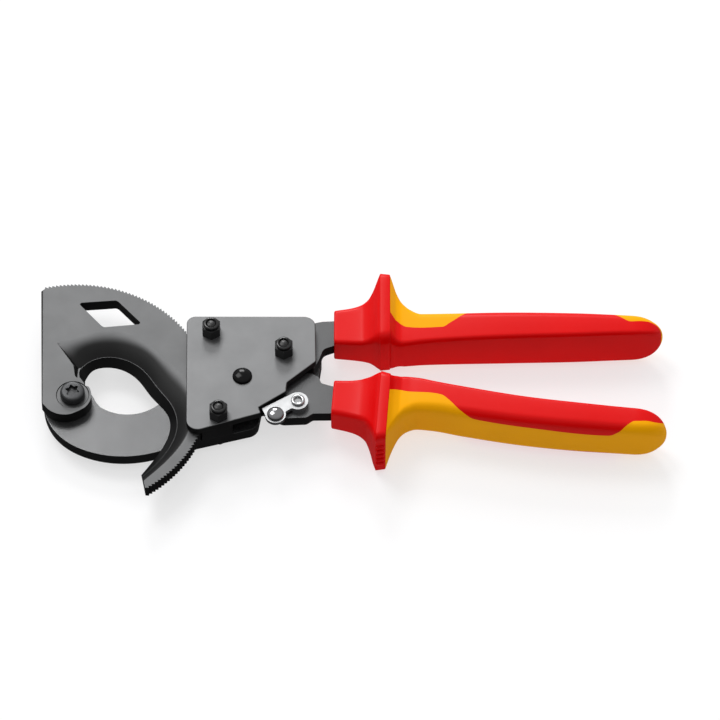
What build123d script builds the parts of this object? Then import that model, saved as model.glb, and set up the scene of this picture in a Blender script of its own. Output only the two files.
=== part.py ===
from build123d import *
from math import cos, sin, radians
import os

# Ratchet cable cutter, 250 mm long, millimetres. The frame's origin is on the blade's
# pivot axis in the plane that the tool lies on; +X runs along the handles, +Z up.

# ---- Driving dimensions -------------------------------------------------------------
SHEAR_Z = 9.8            # height of the shear plane, where the two blades meet
BACK_THICK = 5.4         # fixed blade and its housing plate
GAP = 6.2                # space between the two housing plates
PLATE_THICK = 3.1        # front plate
BLADE_THICK = 5.65       # moving blade
ARM_THICK = 5.2          # steel arms of the two handles
SLIDE_GAP = 0.05         # play between faces and pins that slide on each other

RIM_R = 54.1             # tooth tips of the moving blade, from the pivot
TOOTH_DEPTH = 0.8
TEETH_PER_TURN = 225
RIM_START, RIM_END = 104.0, -56.0    # first and last tooth, degrees from +X
RIM_ROOM = 0.7           # fixed parts keep this far outside the tooth tips

JAW_CENTRE = (21.6, 12.7)
JAW_R = 18.2             # throat of the fixed blade

BOLT_R = 2.0             # M4
BOLT_HOLE_R = 2.1
NUT_FLATS = 7.0
NUT_HEX = 4.9
NUT_COLLAR = 1.3
BOLTS = [(54.7, 28.0), (83.7, 18.4), (58.2, -12.0)]

HANDLE_PIN = (67.3, 6.4)
HANDLE_PIN_R = 2.5
HEAD_R = 7.5             # round head of the lower arm

PIVOT_R = 4.0
PIVOT_THREAD_R = 3.0
PIVOT_HEAD_R = 4.9
RECESS_R = 6.4
RECESS_DEPTH = 0.3

LEVER_PIN = (89.4, -4.4)
LEVER_END_R = 4.1
LEVER_THICK = 1.6
RIVET_R = 1.9
BUTTON = (80.6, -10.9)
BUTTON_R = 3.35

FEED_PIN = (60.3, 4.5)
FEED_TIP_ANGLE = -6.2
HOLD_PIN = (60.5, 20.5)
HOLD_TIP_ANGLE = 12.3
PAWL_TIP_ROOM = 0.65     # pawl tips stand this far outside the tooth tips
PAWL_THICK = 2.6
PAWL_PIN_R = 1.2

GRIP_HEIGHT = 25.0       # of the guards, which the tool rests on
TANG_WIDTH = 6.0

# ---- Levels -------------------------------------------------------------------------
BACK_Z = SHEAR_Z - BACK_THICK
FRONT_Z = SHEAR_Z + GAP
FRONT_TOP = FRONT_Z + PLATE_THICK
BLADE_Z = SHEAR_Z + SLIDE_GAP
BLADE_TOP = BLADE_Z + BLADE_THICK
ARM_TOP = SHEAR_Z + ARM_THICK
PAWL_Z = ARM_TOP - PAWL_THICK
LEVER_Z = FRONT_Z + 0.1
LEVER_TOP = LEVER_Z + LEVER_THICK
GRIP_MID = GRIP_HEIGHT / 2

os.makedirs("parts", exist_ok=True)


def save(builder, name):
    """Label a finished piece and write its STEP file."""
    builder.part.label = name
    export_step(builder.part, f"parts/{name}.step")


def polar(radius, angle):
    """Point at a radius and an angle in degrees about the blade pivot."""
    return (radius * cos(radians(angle)), radius * sin(radians(angle)))


def outline(points, radii):
    """Closed face through the points, with each corner rounded to its radius."""
    with BuildSketch() as face:
        with BuildLine():
            Polyline(*points, close=True)
        make_face()
        for (x, y), radius in zip(points, radii):
            if radius:
                fillet(vertices().sort_by_distance(Vector(x, y, 0))[0], radius)
    return face.sketch


def drill(points, radius, low, high):
    """Cut a round hole from one level to another at each point of the open part."""
    with Locations(*[(x, y, low) for x, y in points]):
        Cylinder(radius, high - low, align=(Align.CENTER, Align.CENTER, Align.MIN), mode=Mode.SUBTRACT)


def post(points, radius, low, high):
    """Add a round post from one level to another at each point of the open part."""
    with Locations(*[(x, y, low) for x, y in points]):
        Cylinder(radius, high - low, align=(Align.CENTER, Align.CENTER, Align.MIN))


# ---- Fixed blade: crescent hook and back plate of the housing, one forging -----------
HOOK_OUTER = [(-11.9, 1.5), (-10.8, -5.8), (-5.1, -15.8), (7.8, -23.7), (20.4, -25.7), (35.2, -23.0)]
THROAT_START = (JAW_CENTRE[0] + JAW_R * cos(radians(-127)), JAW_CENTRE[1] + JAW_R * sin(radians(-127)))
THROAT_LOW = (JAW_CENTRE[0], JAW_CENTRE[1] - JAW_R)
THROAT_END = (JAW_CENTRE[0] + JAW_R * cos(radians(33)), JAW_CENTRE[1] + JAW_R * sin(radians(33)))
EYE_RIGHT = (8.6, 1.0)
BACK_CORNER = (73.3, -12.2)
EDGE_BEVEL = 3.0
EDGE_BEVEL_HIGH = 1.8

with BuildPart() as fixed_blade:
    with BuildSketch(Plane.XY.offset(BACK_Z)) as hook_sketch:
        with BuildLine():
            Spline(*HOOK_OUTER)
            Polyline(HOOK_OUTER[-1], (49.0, -18.8), BACK_CORNER, (74.8, -3.0), (86.5, 1.5), (97.6, 12.4),
                     (98.6, 20.0), (98.6, 34.8), (45.6, 34.8), (45.0, 28.0), THROAT_END)
            ThreePointArc(THROAT_END, (JAW_CENTRE[0] + JAW_R * cos(radians(-45)),
                                       JAW_CENTRE[1] + JAW_R * sin(radians(-45))), THROAT_LOW)
            ThreePointArc(THROAT_LOW, (JAW_CENTRE[0] + JAW_R * cos(radians(-108)),
                                       JAW_CENTRE[1] + JAW_R * sin(radians(-108))), THROAT_START)
            Polyline(THROAT_START, EYE_RIGHT)
            ThreePointArc(EYE_RIGHT, (-0.8, 8.6), HOOK_OUTER[0])
        make_face()
        fillet(vertices().sort_by_distance(Vector(*BACK_CORNER, 0))[0], 5.0)
        fillet(vertices().sort_by_distance(Vector(98.6, 34.8, 0))[0], 4.5)
        fillet(vertices().sort_by_distance(Vector(45.6, 34.8, 0))[0], 3.0)
    extrude(amount=BACK_THICK)
    throat = edges().filter_by(GeomType.CIRCLE).group_by(Axis.Z)[0]
    chamfer(throat.filter_by(lambda edge: abs(edge.radius - JAW_R) < 0.01), EDGE_BEVEL, EDGE_BEVEL_HIGH)
    drill(BOLTS, BOLT_HOLE_R, BACK_Z, SHEAR_Z)
    drill([HANDLE_PIN], HANDLE_PIN_R, BACK_Z, SHEAR_Z)
    drill([HOLD_PIN], PAWL_PIN_R, BACK_Z, SHEAR_Z)
    drill([(0, 0)], PIVOT_THREAD_R, BACK_Z, SHEAR_Z)
save(fixed_blade, "fixed_blade")

# ---- Front plate --------------------------------------------------------------------
FRONT_OUTLINE = [(44.7, 35.7), (96.1, 35.6), (96.5, 13.7), (85.0, 3.4), (84.7, -0.9), (73.9, -8.5),
                 (74.9, -11.2), (45.5, -20.8)]
FRONT_RADII = [3.5, 4.6, 1.2, 1.5, 0.8, 0.4, 0.6, 4.6]

with BuildPart() as front_plate:
    with BuildSketch(Plane.XY.offset(FRONT_Z)):
        add(outline(FRONT_OUTLINE, FRONT_RADII))
        with Locations(*BOLTS):
            Circle(BOLT_HOLE_R, mode=Mode.SUBTRACT)
        with Locations(HANDLE_PIN):
            Circle(HANDLE_PIN_R, mode=Mode.SUBTRACT)
    extrude(amount=PLATE_THICK)
    chamfer(faces().sort_by(Axis.Z)[-1].outer_wire().edges(), length=0.25)
save(front_plate, "front_plate")

# ---- Spacer block at the lower bolt --------------------------------------------------
FIXED_R = RIM_R + RIM_ROOM
BLOCK_TOP, BLOCK_LOW = polar(FIXED_R, -8.6), polar(FIXED_R, -19.6)

with BuildPart() as spacer_block:
    with BuildSketch(Plane.XY.offset(SHEAR_Z)):
        with BuildLine():
            ThreePointArc(BLOCK_TOP, polar(FIXED_R, -14), BLOCK_LOW)
            Polyline(BLOCK_LOW, (63.6, -14.9), (63.6, -9.6), (61.8, BLOCK_TOP[1]), BLOCK_TOP)
        make_face()
        with Locations(BOLTS[2]):
            Circle(BOLT_HOLE_R, mode=Mode.SUBTRACT)
    extrude(amount=GAP)
save(spacer_block, "spacer_block")

# ---- Moving blade -------------------------------------------------------------------
CUT_EDGE = [(4.4, 10.5), (7.4, 15.4), (12.2, 16.9), (18.5, 15.9), (25.4, 10.9), (31.2, 2.4),
            (38.1, -7.1), (38.6, -13.8), (35.2, -23.1), (27.9, -34.6)]
LAND_TOP = [(2.4, 14.0), (6.0, 17.6), (12.6, 19.9), (20.0, 18.7), (27.5, 13.6), (33.4, 5.2),
            (39.6, -4.0), (41.6, -13.6), (38.2, -24.6), (28.3, -37.6)]
HOLLOW_TOP = [(-7.2, 24.4), (2.0, 25.6), (13.0, 26.8), (23.2, 24.3), (32.6, 15.6), (41.5, 6.5),
              (46.4, -5.0), (45.9, -16.8), (40.6, -27.3), (28.9, -40.6)]
LAND_Z = 3.0             # height of the steep land above the cutting edge
LEFT_TOP = (-14.3, 50.6)
LEFT_LOW = (-12.2, -3.4)
LIP = (4.6, 5.9)
EYE_SIDE = (7.4, -0.4)
EYE_TURN = (4.8, -6.2)
EYE_LOW = (-1.8, -9.4)
WINDOW = [(0.7, 44.8), (16.3, 46.1), (26.7, 34.4), (11.1, 32.8)]
WINDOW_RADII = [0.8, 2.2, 0.8, 2.2]


def rim_points():
    """Saw teeth along the rim, clockwise, with the steep side facing the pawls' push."""
    pitch = 360.0 / TEETH_PER_TURN
    count = round((RIM_START - RIM_END) / pitch)
    points = []
    for index in range(count):
        angle = RIM_START - index * pitch
        points.append(polar(RIM_R - TOOTH_DEPTH, angle))
        points.append(polar(RIM_R, angle - 0.15 * pitch))
        points.append(polar(RIM_R, angle - 0.3 * pitch))
    points.append(polar(RIM_R - TOOTH_DEPTH, RIM_START - count * pitch))
    return points


def bite(curve, height):
    """Face of the jaw's bite at one height: the curve closed through the open jaw."""
    with BuildSketch(Plane.XY.offset(height)) as face:
        with BuildLine():
            Spline(*curve)
            Polyline(curve[-1], (20.0, -36.0), (12.0, -5.0), (6.0, 6.0), curve[0])
        make_face()
    return face.sketch


with BuildPart() as lower_cutter:
    loft([bite(CUT_EDGE, BLADE_Z), bite(LAND_TOP, BLADE_Z + LAND_Z)], ruled=True)

with BuildPart() as upper_cutter:
    loft([bite(LAND_TOP, BLADE_Z + LAND_Z), bite(HOLLOW_TOP, BLADE_TOP)], ruled=True)

with BuildPart() as moving_blade:
    with BuildSketch(Plane.XY.offset(BLADE_Z)):
        with BuildLine():
            Polyline(LEFT_TOP, *rim_points())
            Polyline(polar(RIM_R - TOOTH_DEPTH, RIM_END), CUT_EDGE[-1])
            Spline(*CUT_EDGE)
            Polyline(CUT_EDGE[0], LIP)
            ThreePointArc(LIP, EYE_SIDE, EYE_TURN)
            Spline(EYE_TURN, EYE_LOW, (-8.5, -7.7), LEFT_LOW)
            Polyline(LEFT_LOW, LEFT_TOP)
        make_face()
        add(outline(WINDOW, WINDOW_RADII), mode=Mode.SUBTRACT)
        Circle(PIVOT_R + SLIDE_GAP, mode=Mode.SUBTRACT)
    extrude(amount=BLADE_THICK)
    add(lower_cutter.part, mode=Mode.SUBTRACT)
    add(upper_cutter.part, mode=Mode.SUBTRACT)
    with Locations((0, 0, BLADE_TOP)):
        Cylinder(RECESS_R, 2 * RECESS_DEPTH, mode=Mode.SUBTRACT)
save(moving_blade, "moving_blade")

# ---- Upper arm: the fixed handle's steel, clamped between the two plates --------------
UPPER_ARM = [(45.3, 31.0), (45.4, 33.5), (48.0, 34.9), (94.0, 34.9), (99.0, 36.0), (104.0, 36.3),
             (118.0, 34.0), (128.0, 33.0), (206.0, 33.0), (206.0, 33.0 - TANG_WIDTH), (128.0, 26.0),
             (104.0, 24.2), (99.4, 22.4), (97.6, 17.0), (95.6, 12.9), (84.0, 12.9), (77.0, 16.2),
             (66.2, 16.6), (66.2, 24.4), (52.0, 24.4)]
UPPER_ARM_RADII = [0, 0, 1.5, 3.0, 3.0, 3.0, 6.0, 6.0, 2.5, 2.5, 6.0, 4.0, 3.0, 3.0, 1.0, 2.0, 4.0, 0.5,
                   3.0, 0]
UPPER_BOLTS = BOLTS[:2]
SPRING_SLIT = (67.2, 18.4)

with BuildPart() as upper_arm:
    with BuildSketch(Plane.XY.offset(SHEAR_Z)):
        add(outline(UPPER_ARM, UPPER_ARM_RADII))
        Circle(FIXED_R, mode=Mode.SUBTRACT)
        with Locations(*UPPER_BOLTS):
            Circle(BOLT_HOLE_R, mode=Mode.SUBTRACT)
        with Locations(SPRING_SLIT):
            Rectangle(0.5, 4.4, mode=Mode.SUBTRACT)
    extrude(amount=ARM_THICK)
save(upper_arm, "upper_arm")

with BuildPart() as arm_shims:
    with BuildSketch(Plane.XY.offset(ARM_TOP)):
        with Locations(*UPPER_BOLTS):
            Circle(3.8)
            Circle(BOLT_HOLE_R, mode=Mode.SUBTRACT)
    extrude(amount=GAP - ARM_THICK)
save(arm_shims, "arm_shims")

# ---- Lower arm: the moving handle's steel -------------------------------------------
LOWER_ARM = [(67.3, 13.9), (84.0, 10.7), (94.8, 10.7), (97.6, 8.8), (98.6, 5.9), (103.2, 4.4),
             (110.0, 3.2), (118.0, 2.4), (130.0, 1.0), (152.0, -3.2), (176.0, -8.0),
             (204.0, -12.4), (203.2, -12.4 - TANG_WIDTH), (175.0, -14.0), (151.0, -9.1),
             (130.0, -4.8), (118.0, -6.6), (106.0, -8.6), (95.3, -8.7), (92.8, -10.6), (83.2, -11.0), (77.6, -7.4), (63.0, 0.3)]
LOWER_ARM_RADII = [0, 4.0, 1.5, 1.2, 1.5, 2.0, 3.0, 6.0, 6.0, 40.0, 40.0, 2.5, 2.5, 40.0, 40.0,
                   6.0, 6.0, 2.0, 2.0, 2.0, 4.0, 3.0, 0]
CARRIER_R = 3.0          # tongue that carries the feed pawl's pin
POCKET_EDGE = 63.9       # the head is thinned to the left of this line

with BuildPart() as lower_arm:
    with BuildSketch(Plane.XY.offset(SHEAR_Z + SLIDE_GAP)):
        add(outline(LOWER_ARM, LOWER_ARM_RADII))
        with Locations(HANDLE_PIN):
            Circle(HEAD_R)
        with Locations(FEED_PIN):
            Circle(CARRIER_R)
        with Locations(HANDLE_PIN):
            Circle(HANDLE_PIN_R + SLIDE_GAP, mode=Mode.SUBTRACT)
        with Locations(LEVER_PIN):
            Circle(RIVET_R, mode=Mode.SUBTRACT)
        with Locations(FEED_PIN):
            Circle(PAWL_PIN_R, mode=Mode.SUBTRACT)
    extrude(amount=ARM_THICK - SLIDE_GAP)
    with Locations((POCKET_EDGE, FEED_PIN[1], PAWL_Z - 0.1)):
        Box(20, 40, 10, align=(Align.MAX, Align.CENTER, Align.MIN), mode=Mode.SUBTRACT)
save(lower_arm, "lower_arm")


# ---- Pawls, their pins and leaf springs ---------------------------------------------
def pawl(builder_pin, tip_angle, boss_r, nose):
    """Plan of a pawl: a round boss, and a nose whose end face lies along the tooth's radius."""
    tip = polar(RIM_R + PAWL_TIP_ROOM, tip_angle)
    heel = polar(RIM_R + PAWL_TIP_ROOM + nose, tip_angle - 1)
    along = Vector(*builder_pin) - Vector(*tip)
    side = Vector(-along.Y, along.X).normalized() * boss_r
    left = Vector(*builder_pin) + side * 0.86 - along.normalized() * 0.2
    right = Vector(*builder_pin) - side * 0.98
    with BuildSketch() as face:
        with BuildLine():
            Polyline(tip, (left.X, left.Y), (right.X, right.Y), heel, close=True)
        make_face()
        with Locations(builder_pin):
            Circle(boss_r)
            Circle(PAWL_PIN_R + SLIDE_GAP, mode=Mode.SUBTRACT)
    return face.sketch


with BuildPart() as feed_pawl:
    with BuildSketch(Plane.XY.offset(PAWL_Z)):
        add(pawl(FEED_PIN, FEED_TIP_ANGLE, 2.5, 2.9))
    extrude(amount=PAWL_THICK)
save(feed_pawl, "feed_pawl")

with BuildPart() as holding_pawl:
    with BuildSketch(Plane.XY.offset(PAWL_Z)):
        add(pawl(HOLD_PIN, HOLD_TIP_ANGLE, 2.7, 3.2))
    extrude(amount=PAWL_THICK)
save(holding_pawl, "holding_pawl")

with BuildPart() as feed_pawl_pin:
    post([FEED_PIN], PAWL_PIN_R, BLADE_Z, ARM_TOP + 0.4)
save(feed_pawl_pin, "feed_pawl_pin")

with BuildPart() as holding_pawl_pin:
    post([HOLD_PIN], PAWL_PIN_R, BACK_Z, FRONT_Z)
save(holding_pawl_pin, "holding_pawl_pin")

LEAF_HEIGHT = 2.0
HOLD_LEAF = [(67.2, 20.4), (67.2, 16.2), (65.2, 15.0), (60.1, 14.7)]
FEED_LEAF = [(63.7, 0.8), (62.8, -1.4), (60.3, -2.4)]


def leaf(points, thickness):
    """Plan of a bent leaf of spring steel along the points."""
    with BuildSketch() as face:
        with BuildLine() as path:
            Polyline(*points)
        trace(path.line, thickness)
    return face.sketch


with BuildPart() as holding_pawl_spring:
    with BuildSketch(Plane.XY.offset(PAWL_Z + 0.3)):
        add(leaf(HOLD_LEAF, 0.4))
    extrude(amount=LEAF_HEIGHT)
save(holding_pawl_spring, "holding_pawl_spring")

with BuildPart() as feed_pawl_spring:
    with BuildSketch(Plane.XY.offset(PAWL_Z + 0.3)):
        add(leaf(FEED_LEAF, 0.4))
    extrude(amount=LEAF_HEIGHT)
save(feed_pawl_spring, "feed_pawl_spring")

# ---- Handle spring: one flat turn of wire in the space above the lower arm -----------
WIRE_R = 0.4
COIL_R = 5.2
WIRE_Z = ARM_TOP + 0.5


def about_pin(radius, angle):
    """Point about the handle pin."""
    return (HANDLE_PIN[0] + radius * cos(radians(angle)), HANDLE_PIN[1] + radius * sin(radians(angle)))


def tangent_leg(angle, length):
    """End of a straight leg that leaves the coil along its tangent, counter-clockwise if positive."""
    x, y = about_pin(COIL_R, angle)
    return (x - length * sin(radians(angle)), y + length * cos(radians(angle)))


with BuildPart() as handle_spring:
    with BuildLine(Plane.XY.offset(WIRE_Z)) as wire:
        Line(tangent_leg(99, -17.0), about_pin(COIL_R, 99))
        ThreePointArc(about_pin(COIL_R, 99), about_pin(COIL_R, 190), about_pin(COIL_R, 280))
        Line(about_pin(COIL_R, 280), tangent_leg(280, 14.0))
    with BuildSketch(Plane(origin=wire.line @ 0, z_dir=wire.line % 0)):
        Circle(WIRE_R)
    sweep(path=wire.line)
save(handle_spring, "handle_spring")

# ---- Fasteners ----------------------------------------------------------------------
BOLT_HEAD_R = 3.5
NUT_TOP = FRONT_TOP + NUT_HEX + NUT_COLLAR

with BuildPart() as housing_bolts:
    post(BOLTS, BOLT_HEAD_R, 0, BACK_Z)
    chamfer(edges().group_by(Axis.Z)[0], length=0.4)
    post(BOLTS, BOLT_R, BACK_Z, NUT_TOP - 0.7)
    with BuildSketch(Plane.XY) as sockets:
        with Locations(*BOLTS):
            RegularPolygon(1.5, 6, major_radius=False)
    extrude(amount=2.0, mode=Mode.SUBTRACT)
save(housing_bolts, "housing_bolts")

with BuildPart() as lock_nuts:
    with BuildSketch(Plane.XY.offset(FRONT_TOP)):
        with Locations(*BOLTS):
            RegularPolygon(NUT_FLATS / 2, 6, major_radius=False, rotation=30)
    extrude(amount=NUT_HEX)
    chamfer(faces().group_by(Axis.Z)[-1].edges(), length=0.35)
    post(BOLTS, NUT_FLATS / 2 - 0.4, FRONT_TOP + NUT_HEX, NUT_TOP)
    fillet(edges().group_by(Axis.Z)[-1], 0.5)
    drill(BOLTS, BOLT_R, FRONT_TOP, NUT_TOP)
save(lock_nuts, "lock_nuts")

DOME_R, DOME_HIGH = 3.9, 1.7
with BuildPart() as handle_pin:
    post([HANDLE_PIN], HANDLE_PIN_R, BACK_Z, FRONT_TOP)
    post([HANDLE_PIN], DOME_R, FRONT_TOP, FRONT_TOP + DOME_HIGH)
    fillet(edges().group_by(Axis.Z)[-1], DOME_HIGH - 0.1)
    post([HANDLE_PIN], DOME_R, BACK_Z - 1.5, BACK_Z)
    chamfer(edges().group_by(Axis.Z)[0], length=0.7)
save(handle_pin, "handle_pin")

PIVOT_NUT_R = 6.6
PIVOT_BLIND = 1.3        # closed end of the pivot nut
HEAD_Z = BLADE_TOP - RECESS_DEPTH + SLIDE_GAP
HEAD_HIGH = 3.4
with BuildPart() as pivot_screw:
    post([(0, 0)], PIVOT_THREAD_R, PIVOT_BLIND, SHEAR_Z)
    post([(0, 0)], PIVOT_R, SHEAR_Z, HEAD_Z)
    post([(0, 0)], PIVOT_HEAD_R, HEAD_Z, HEAD_Z + HEAD_HIGH)
    fillet(edges().group_by(Axis.Z)[-1], 1.2)
    with BuildSketch(Plane.XY.offset(HEAD_Z + HEAD_HIGH)):
        Circle(1.8)
        with PolarLocations(2.0, 6):
            Circle(0.75)
    extrude(amount=-1.6, mode=Mode.SUBTRACT)
save(pivot_screw, "pivot_screw")

with BuildPart() as pivot_nut:
    post([(0, 0)], PIVOT_NUT_R, 0, BACK_Z)
    chamfer(edges().group_by(Axis.Z)[0], length=0.5)
    drill([(0, 0)], PIVOT_THREAD_R, PIVOT_BLIND, BACK_Z)
save(pivot_nut, "pivot_nut")

# ---- Lock lever ---------------------------------------------------------------------
LOBE_R = 4.1
LEVER_EDGE_ANGLE = 30.7  # the long edge beside the front plate
LEVER_TIP = (75.2, -8.1)
EDGE_END = (LEVER_PIN[0] - LEVER_END_R * sin(radians(LEVER_EDGE_ANGLE)),
            LEVER_PIN[1] + LEVER_END_R * cos(radians(LEVER_EDGE_ANGLE)))

with BuildPart() as lock_lever:
    with BuildSketch(Plane.XY.offset(LEVER_Z)):
        with BuildLine():
            Polyline(LEVER_TIP, EDGE_END, (91.0, -8.2), (86.8, -8.0), (84.0, -10.0), BUTTON, (76.8, -11.8),
                     close=True)
        make_face()
        with Locations(LEVER_PIN):
            Circle(LEVER_END_R)
        with Locations(BUTTON):
            Circle(LOBE_R)
        with Locations(LEVER_PIN):
            Circle(RIVET_R + SLIDE_GAP, mode=Mode.SUBTRACT)
        with Locations(BUTTON):
            Circle(1.5, mode=Mode.SUBTRACT)
    extrude(amount=LEVER_THICK)
save(lock_lever, "lock_lever")

with BuildPart() as lock_button:
    post([BUTTON], 1.5, LEVER_Z, LEVER_TOP)
    post([BUTTON], BUTTON_R, LEVER_TOP, LEVER_TOP + 1.7)
    fillet(edges().group_by(Axis.Z)[-1], 1.6)
save(lock_button, "lock_button")

with BuildPart() as lever_rivet:
    post([LEVER_PIN], RIVET_R, SHEAR_Z + 0.1, LEVER_TOP + 0.1)
    post([LEVER_PIN], 2.75, LEVER_TOP + 0.1, LEVER_TOP + 1.0)
    fillet(edges().group_by(Axis.Z)[-1], 0.45)
    drill([LEVER_PIN], 1.35, SHEAR_Z, LEVER_TOP + 1.2)
save(lever_rivet, "lever_rivet")

with BuildPart() as lever_washer:
    post([LEVER_PIN], 4.0, ARM_TOP, LEVER_Z - SLIDE_GAP)
    drill([LEVER_PIN], RIVET_R, ARM_TOP, LEVER_Z)
save(lever_washer, "lever_washer")


# ---- Grips: a red core moulded on each steel arm, and a yellow inlay on its outer side --
# Sections across a handle: station, low y, high y, half height. The guard stands between 118 and 130.
UPPER_SECTIONS = [(103.6, 23.0, 39.6, 6.3), (111.0, 22.4, 40.8, 6.6), (114.5, 22.1, 42.0, 6.9),
                  (117.2, 22.0, 43.8, 8.0), (119.2, 21.7, 47.0, 9.6), (120.8, 21.0, 50.8, 11.4),
                  (121.9, 20.3, 53.9, 12.5), (126.1, 21.4, 53.4, 12.5), (127.3, 21.0, 50.0, 10.8),
                  (128.6, 20.7, 46.4, 9.4), (130.6, 20.7, 42.6, 8.7), (133.8, 21.0, 39.2, 8.8),
                  (138.5, 21.6, 36.9, 9.0), (150.0, 22.4, 36.8, 9.5), (172.0, 23.3, 36.9, 10.1),
                  (200.0, 24.1, 36.4, 10.3), (216.0, 24.8, 35.7, 10.2), (226.0, 25.2, 35.0, 9.3),
                  (231.5, 26.0, 34.0, 7.6), (234.0, 27.0, 32.6, 5.6), (235.0, 28.4, 31.2, 4.0)]
LOWER_SECTIONS = [(103.3, -11.0, 5.4, 6.3), (110.0, -12.6, 5.2, 6.5), (113.5, -13.8, 5.4, 6.8),
                  (117.0, -16.0, 5.9, 8.0), (119.3, -20.2, 6.3, 9.8), (120.9, -24.8, 6.7, 11.5),
                  (121.9, -27.3, 7.0, 12.5), (126.0, -26.6, 5.2, 12.5), (127.2, -22.4, 5.1, 10.8),
                  (128.6, -18.6, 5.6, 9.6), (130.6, -14.6, 6.1, 8.7), (133.0, -12.1, 6.0, 8.7),
                  (137.5, -10.5, 4.9, 9.0), (143.0, -10.9, 3.3, 9.3), (155.4, -13.3, 0.3, 9.7),
                  (181.0, -17.6, -5.0, 10.2), (200.1, -19.8, -7.7, 10.3), (218.0, -21.3, -9.8, 10.1),
                  (227.5, -21.9, -11.0, 9.1), (232.5, -20.9, -12.6, 7.2), (235.2, -19.4, -14.4, 5.3),
                  (236.2, -17.8, -16.2, 4.0)]
LOWER_TILT = -4.15       # the lower grip's sections lean with its handle, in degrees
CORNER = 3.0
# Ridge of the inlay's wedge inside the handle: station, y. The wedge opens outwards at 45 degrees
# above the ridge and more steeply below it, so a deep ridge brings the yellow onto the top face,
# a shallow one leaves a strip, and the strip reaches down to the grip's lower corner.
UPPER_RIDGE = [(126.1, 21.6), (129.0, 22.0), (132.6, 20.2), (140.4, 19.3), (147.0, 19.2), (149.6, 20.8),
               (155.0, 25.0), (159.0, 30.0), (165.0, 31.2), (208.0, 31.4), (213.0, 29.0), (218.5, 22.5),
               (222.0, 20.6), (227.0, 21.6), (232.5, 24.5), (238.0, 27.5)]
LOWER_RIDGE = [(126.0, 8.6), (129.9, 7.6), (132.0, 6.4), (140.6, 6.1), (146.6, 5.1), (149.4, 2.9),
               (155.1, -3.4), (159.7, -7.6), (164.4, -8.9), (181.3, -12.1), (213.5, -16.2), (217.4, -13.6),
               (220.8, -9.1), (223.3, -7.4), (227.0, -7.4), (232.8, -9.2), (238.0, -11.5)]
WEDGE_REACH = 45.0
LOWER_OPENING = 1.75     # rise of the wedge below its ridge for each millimetre outwards
RED_WALL = 3.0           # red left on the grip's inner side


def across(station, tilt):
    """Plane across a handle: its x runs along Y and its y along Z."""
    return Plane(origin=(station, 0, 0), x_dir=(-sin(radians(tilt)), cos(radians(tilt)), 0),
                 z_dir=(cos(radians(tilt)), sin(radians(tilt)), 0))


def grip(sections, tilt):
    """Whole grip: rounded rectangles lofted along the handle."""
    faces = []
    for station, low, high, half in sections:
        with BuildSketch(across(station, tilt)) as face:
            with Locations(((low + high) / 2, GRIP_MID)):
                RectangleRounded(high - low, 2 * half, min(CORNER, 0.35 * (high - low), 0.5 * half))
        faces.append(face.sketch)
    with BuildPart() as whole:
        loft(faces, ruled=True)
    return whole.part


def inner_side(sections, station, side):
    """Y of a grip's inner side at a station, between the sections to its left and right."""
    column = 1 if side > 0 else 2
    for left, right in zip(sections, sections[1:]):
        if station <= right[0]:
            share = (station - left[0]) / (right[0] - left[0])
            return left[column] + (right[column] - left[column]) * share
    return sections[-1][column]


def wedge(ridge, sections, tilt, side):
    """Space of an inlay: wedges lofted along the handle, opening towards the grip's outer side."""
    faces = []
    reach = WEDGE_REACH * side
    for station, y in ridge:
        wall = inner_side(sections, station, side) + RED_WALL * side
        foot = max(y + 0.3, wall) if side > 0 else min(y - 0.3, wall)
        rise = abs(foot - y)
        with BuildSketch(across(station, tilt)) as face:
            with BuildLine():
                Polyline((foot, GRIP_MID + rise), (foot, GRIP_MID - rise * LOWER_OPENING),
                         (y + reach, GRIP_MID - WEDGE_REACH * LOWER_OPENING),
                         (y + reach, GRIP_MID + WEDGE_REACH), close=True)
            make_face()
        faces.append(face.sketch)
    with BuildPart() as space:
        loft(faces, ruled=True)
    return space.part


for name, sections, ridge, tilt, side, arm in [
        ("upper", UPPER_SECTIONS, UPPER_RIDGE, 0.0, 1, upper_arm),
        ("lower", LOWER_SECTIONS, LOWER_RIDGE, LOWER_TILT, -1, lower_arm)]:
    whole = grip(sections, tilt)
    space = wedge(ridge, sections, tilt, side)
    with BuildPart() as core:
        add(whole)
        add(space, mode=Mode.SUBTRACT)
        add(arm.part, mode=Mode.SUBTRACT)
    save(core, f"{name}_grip")
    with BuildPart() as inlay:
        add(whole)
        add(space, mode=Mode.INTERSECT)
        add(arm.part, mode=Mode.SUBTRACT)
    save(inlay, f"{name}_grip_inlay")
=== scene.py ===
import bmesh
import bpy
import numpy as np
from math import atan2, cos, exp, pi, radians, sin, sqrt
from mathutils import Matrix, Vector


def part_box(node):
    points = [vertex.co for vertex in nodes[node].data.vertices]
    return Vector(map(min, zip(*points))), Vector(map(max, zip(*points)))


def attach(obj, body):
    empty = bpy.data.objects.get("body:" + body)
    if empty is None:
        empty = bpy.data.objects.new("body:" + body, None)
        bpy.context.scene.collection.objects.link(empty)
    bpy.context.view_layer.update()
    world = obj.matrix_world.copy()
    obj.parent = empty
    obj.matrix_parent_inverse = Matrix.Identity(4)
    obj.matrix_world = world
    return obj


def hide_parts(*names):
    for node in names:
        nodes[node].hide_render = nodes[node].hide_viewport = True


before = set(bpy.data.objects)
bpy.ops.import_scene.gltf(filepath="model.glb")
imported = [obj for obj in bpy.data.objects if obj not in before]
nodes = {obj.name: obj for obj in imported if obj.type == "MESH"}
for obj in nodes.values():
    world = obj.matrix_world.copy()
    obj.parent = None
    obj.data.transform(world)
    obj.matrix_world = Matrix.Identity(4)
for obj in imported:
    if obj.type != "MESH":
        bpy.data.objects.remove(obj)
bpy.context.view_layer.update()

# Working unit of the meshes below is the millimetre; pieces are scaled to metres when placed.
MM = 0.001


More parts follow.
